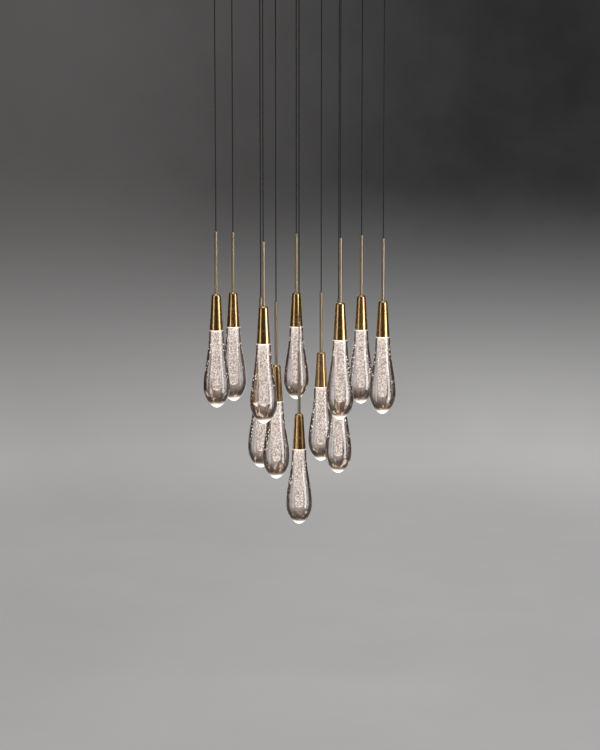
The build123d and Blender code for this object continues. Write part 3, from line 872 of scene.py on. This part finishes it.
class CHANDELIER_OT_bubbles(bpy.types.Operator):
    """Fill the drops with their columns and skins of bubbles"""

    bl_idname = "chandelier.bubbles"
    bl_label = "Add Bubbles"

    def execute(self, context):
        sizes = context.scene.chandelier_sizes
        finishes = context.scene.chandelier_finishes
        column = self.column(sizes)
        mark_depth(column)
        finish_with(column, bubble_column(sizes, finishes))
        bubbles = self.bubbles(sizes)
        finish_with(bubbles, silver_bubbles(finishes))
        for number, pendant in enumerate(PENDANTS):
            core = hang_copy(column, "bubble_column_" + pendant, pendant, turn=TWIST * number)
            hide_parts("glass_drop_" + pendant)
            specks = hang_copy(bubbles, "bubbles_" + pendant, pendant, turn=TWIST * number)
        discard(column)
        discard(bubbles)
        return {"FINISHED"}

    def column_radius(self, sizes, depth):
        """Radius of the column, which tapers from the top of the spigot to its rounded foot."""
        straight = sizes.spigot_length + sizes.core_depth - sizes.core_foot_radius
        share = min((depth + sizes.spigot_length) / straight, 1.0)
        return sizes.core_top_radius + (sizes.core_foot_radius - sizes.core_top_radius) * share

    def column(self, sizes):
        """Column with a faint ripple, as one turned piece."""
        steps = 18
        ripple_share = 0.02
        ripple_pace = 1.9
        foot = sizes.core_depth - sizes.core_foot_radius
        outline = []
        for step in range(steps + 1):
            depth = -sizes.spigot_length + (foot + sizes.spigot_length) * step / steps
            ripple = 1.0 - ripple_share * math.sin(step * ripple_pace) ** 2
            outline.append((self.column_radius(sizes, depth) * ripple, -depth))
        end = arc((0.0, -foot), outline[-1][0], sizes.core_foot_radius, 0.0, -90.0, 8)
        outline += end[1:-1]
        outline.append((0.0, -sizes.core_depth))
        return turned("bubble_column", outline, 32)

    def bubbles(self, sizes):
        """Small bubbles on and round the column, and a few just under the skin of the glass."""
        core_start = 0.004
        core_reach = sizes.core_depth - 0.006
        core_smallest = 0.0005
        core_spread = 0.001
        skin_start = 0.025
        skin_reach = 0.105
        skin_smallest = 0.0007
        skin_spread = 0.0014
        skin_gap = 0.0006
        stretch = 0.6
        detail = {"segments": 8, "ring_count": 5}
        chance = random.Random(7)
        seats = []
        for _ in range(sizes.core_bubbles):
            depth = core_start + core_reach * chance.random()
            radius = self.column_radius(sizes, depth) * (0.55 + 0.5 * chance.random() ** 0.5)
            seats.append((radius, depth, core_smallest + core_spread * chance.random() ** 2))
        for _ in range(sizes.skin_bubbles):
            depth = skin_start + skin_reach * chance.random()
            size = skin_smallest + skin_spread * chance.random() ** 2
            seats.append((glass_radius(sizes, depth) - skin_gap - size * 1.3, depth, size))
        start_fresh()
        bpy.ops.mesh.primitive_uv_sphere_add(**detail, radius=core_smallest, location=(0, 0, -0.02))
        piece = bpy.context.object
        piece.name = "bubbles"
        bpy.ops.object.transform_apply(location=True, rotation=True, scale=True)
        bpy.ops.object.mode_set(mode="EDIT")
        for radius, depth, size in seats:
            angle = chance.random() * math.tau
            bpy.ops.mesh.primitive_uv_sphere_add(
                **detail,
                radius=size,
                location=(radius * math.cos(angle), radius * math.sin(angle), -depth),
                scale=(1.0, 1.0, 1.0 + stretch * chance.random()),
            )
        bpy.ops.object.mode_set(mode="OBJECT")
        bpy.ops.object.shade_smooth()
        return piece


class CHANDELIER_OT_canopy(bpy.types.Operator):
    """Finish the canopy, what is inside it, and the light engines"""

    bl_idname = "chandelier.canopy"
    bl_label = "Finish Canopy"

    def execute(self, context):
        finishes = context.scene.chandelier_finishes
        brass = satin_brass(finishes)
        steel = zinc_steel()
        driver = moulded("driver_white", (0.72, 0.72, 0.70), (0.60, 0.60, 0.57), 0.4)
        terminal = moulded("terminal_white", (0.80, 0.79, 0.75), (0.68, 0.66, 0.60), 0.35)
        rubber = moulded("black_rubber", (0.022, 0.022, 0.022), (0.04, 0.04, 0.04), 0.6)
        lead = moulded("lead_sleeve", (0.018, 0.018, 0.019), (0.03, 0.03, 0.03), 0.5)
        board = circuit_board()
        engine = light_engine()
        finished = {
            "ceiling_plate": steel,
            "plate_studs": steel,
            "grip_nuts": steel,
            "inner_screws": steel,
            "canopy_pan": brass,
            "cord_grips": brass,
            "dome_nuts": brass,
            "led_driver": driver,
            "mains_terminal": terminal,
            "junction_board": board,
            "canopy_leads": lead,
            "cable_bush": rubber,
        }
        for pendant in PENDANTS:
            finished["led_engine_" + pendant] = engine
        for node, material in finished.items():
            for slot in frame["nodes"][node].material_slots:
                slot.material = material
        return {"FINISHED"}


class CHANDELIER_OT_stage(bpy.types.Operator):
    """Set the floor, the backdrop, the lamps and the camera"""

    bl_idname = "chandelier.stage"
    bl_label = "Set Stage"

    def execute(self, context):
        self.backdrop()
        self.lamp("soft_box_right", (2.08, -1.20, -0.95), (0.90, 2.8), 40.0)
        self.lamp("soft_box_left", (-1.97, -1.38, -0.95), (0.60, 2.8), 9.0)
        self.lamp("soft_box_above", (0.0, -0.6, 2.2), (2.4, 2.4), 40.0)
        self.lamp("soft_box_back", (0.0, 2.7, -1.45), (0.8, 1.8), 6.0)
        self.world(context)
        self.camera(context)
        context.scene.view_settings.view_transform = "Standard"
        context.scene.cycles.use_denoising = True
        context.scene.cycles.use_adaptive_sampling = False
        context.scene.cycles.use_light_tree = False
        context.scene.cycles.light_sampling_threshold = 0.0
        context.scene.cycles.sample_clamp_indirect = 1.0
        context.scene.cycles.max_bounces = 24
        context.scene.cycles.transmission_bounces = 20
        context.scene.cycles.transparent_max_bounces = 24
        return {"FINISHED"}

    def backdrop(self):
        """Round floor that sweeps up into a wall all round."""
        sweep = 1.2
        foot = WALL - sweep
        outline = [(radius, FLOOR) for radius in (0.02, 2.0, 4.0, foot)]
        outline += arc((foot, FLOOR + sweep), sweep, sweep, -90.0, 0.0, 12)[1:]
        outline += [(WALL, level) for level in (-0.8, 0.2, 1.5, 4.0)]
        piece = self.open_shell("backdrop", outline)
        finish_with(piece, self.plaster())

    def open_shell(self, name, outline):
        """Turns an outline into a shell that is open at its top and faces inwards."""
        radius, height = outline[0]
        piece = start_circle(name, 96, radius, (0, 0, height), fill="NGON")
        bpy.ops.mesh.select_mode(type="EDGE")
        bpy.ops.mesh.select_all(action="SELECT")
        for next_radius, next_height in outline[1:]:
            bpy.ops.mesh.extrude_edges_move(TRANSFORM_OT_translate={"value": (0, 0, next_height - height)})
            share = next_radius / radius
            bpy.ops.transform.resize(value=(share, share, 1.0), center_override=(0, 0, next_height))
            radius, height = next_radius, next_height
        bpy.ops.mesh.select_all(action="SELECT")
        bpy.ops.mesh.normals_make_consistent(inside=True)
        bpy.ops.mesh.select_mode(type="VERT")
        bpy.ops.object.mode_set(mode="OBJECT")
        bpy.ops.object.shade_smooth()
        return piece

    def plaster(self):
        """Pale floor and a wall with painted shade, darker towards the ceiling and most on one side."""
        finish = Finish("studio_plaster")
        cloud = (0.20, 0.197, 0.195)
        painted_room = (0.050, 0.020, 0.001)
        high_wall = (0.09, 0.068, 0.055)
        where = finish.place()
        across = finish.node("ShaderNodeSeparateXYZ", None, {"Vector": where})
        height = across.output("Z")
        back = across.output("Y") / WALL
        climb = (height - FLOOR) / FADE
        side = across.between(-1.9, 1.5)
        pale = finish.colours(side, (0.480, 0.473, 0.470), (0.490, 0.483, 0.480))
        deep = finish.colours(side, (0.082, 0.079, 0.078), (0.022, 0.021, 0.021))
        tone = finish.colours(climb.between(side * 0.14 - 0.13, 0.61 - side * 0.02), pale, deep)
        clouds = finish.noise(where, 0.9, 4.0, 0.6).between(0.2, 0.8)
        tone = finish.colours(clouds * 0.11, tone, cloud)
        # Painted reflections: mirrors are shown a dim warm room but for the wall behind the light, and glass
        # is shown a paler wall
        path = finish.node("ShaderNodeLightPath")
        mirrored = path.output("Is Glossy Ray")
        through = path.output("Is Transmission Ray")
        seen = path.larger(mirrored).larger(through)
        room = (1.0 - back.between(0.90, 0.985)) * (0.5 + height.between(-2.6, -2.2) * 0.5)
        tone = finish.colours(mirrored * room, tone, painted_room)
        bent = finish.colours(climb.between(0.05, 1.2), pale, high_wall)
        tone = finish.colours(through, tone, bent)
        # Rays from the camera, mirrors and glass meet a glow, and all others a matt wall
        glow = finish.node("ShaderNodeEmission", None, {"Color": tone, "Strength": 1.0})
        matt = finish.node("ShaderNodeBsdfDiffuse", None, {"Color": tone})
        upright = climb.between(0.0, 0.1)
        mixed = finish.node("ShaderNodeMixShader", None, {0: seen * (0.8 + upright * 0.2), 1: matt, 2: glow})
        finish.node("ShaderNodeOutputMaterial", None, {"Surface": mixed})
        return finish.material

    def lamp(self, name, place, size, power):
        """Soft box aimed level at the middle of the light, or down at it from above."""
        lamp = bpy.data.lights.new(name, "AREA")
        lamp.shape = "RECTANGLE"
        lamp.size, lamp.size_y = size
        lamp.energy = power
        holder = bpy.data.objects.new(name, lamp)
        holder.location = place
        aim = Vector((0.0, 0.0, min(place[2], 0.0))) - Vector(place)
        holder.rotation_euler = aim.to_track_quat("-Z", "Y").to_euler()
        holder.visible_camera = False
        holder.visible_transmission = False
        bpy.context.scene.collection.objects.link(holder)

    def world(self, context):
        """Even grey air."""
        world = bpy.data.worlds.new("studio_air")
        world.use_nodes = True
        air = world.node_tree.nodes["Background"].inputs
        air["Color"].default_value = (0.5, 0.5, 0.5, 1.0)
        air["Strength"].default_value = 0.5
        context.scene.world = world

    def camera(self, context):
        """Camera fitted to the photo, which looks a little down."""
        dip = 0.117
        eye = bpy.data.cameras.new("camera")
        eye.lens = 79.35
        eye.sensor_width = 36.0
        holder = bpy.data.objects.new("camera", eye)
        holder.location = (0.0024, -4.3925, -0.5655)
        holder.rotation_euler = (math.pi / 2 - dip, 0.0, 0.0)
        context.scene.collection.objects.link(holder)
        context.scene.camera = holder


class CHANDELIER_PT_panel(bpy.types.Panel):
    """Sizes, finishes and steps of the chandelier"""

    bl_idname = "CHANDELIER_PT_panel"
    bl_label = "Glass Drop Chandelier"
    bl_space_type = "VIEW_3D"
    bl_region_type = "UI"
    bl_category = "Chandelier"

    def draw(self, context):
        layout = self.layout
        for group in (context.scene.chandelier_sizes, context.scene.chandelier_finishes):
            box = layout.box()
            for name in group.bl_rna.properties.keys():
                if name not in ("rna_type", "name"):
                    box.prop(group, name)
        for step in STEPS:
            layout.operator(step.bl_idname)


STEPS = (
    CHANDELIER_OT_stage,
    CHANDELIER_OT_cords,
    CHANDELIER_OT_brass,
    CHANDELIER_OT_glass,
    CHANDELIER_OT_bubbles,
    CHANDELIER_OT_canopy,
)
CLASSES = (ChandelierSizes, ChandelierFinishes, *STEPS, CHANDELIER_PT_panel)


def register():
    for part in CLASSES:
        bpy.utils.register_class(part)
    bpy.types.Scene.chandelier_sizes = PointerProperty(type=ChandelierSizes)
    bpy.types.Scene.chandelier_finishes = PointerProperty(type=ChandelierFinishes)


def unregister():
    del bpy.types.Scene.chandelier_finishes
    del bpy.types.Scene.chandelier_sizes
    for part in reversed(CLASSES):
        bpy.utils.unregister_class(part)


def main():
    register()
    bpy.ops.chandelier.stage()
    bpy.ops.chandelier.cords()
    bpy.ops.chandelier.brass()
    bpy.ops.chandelier.glass()
    bpy.ops.chandelier.bubbles()
    bpy.ops.chandelier.canopy()


if __name__ == "__main__":
    main()
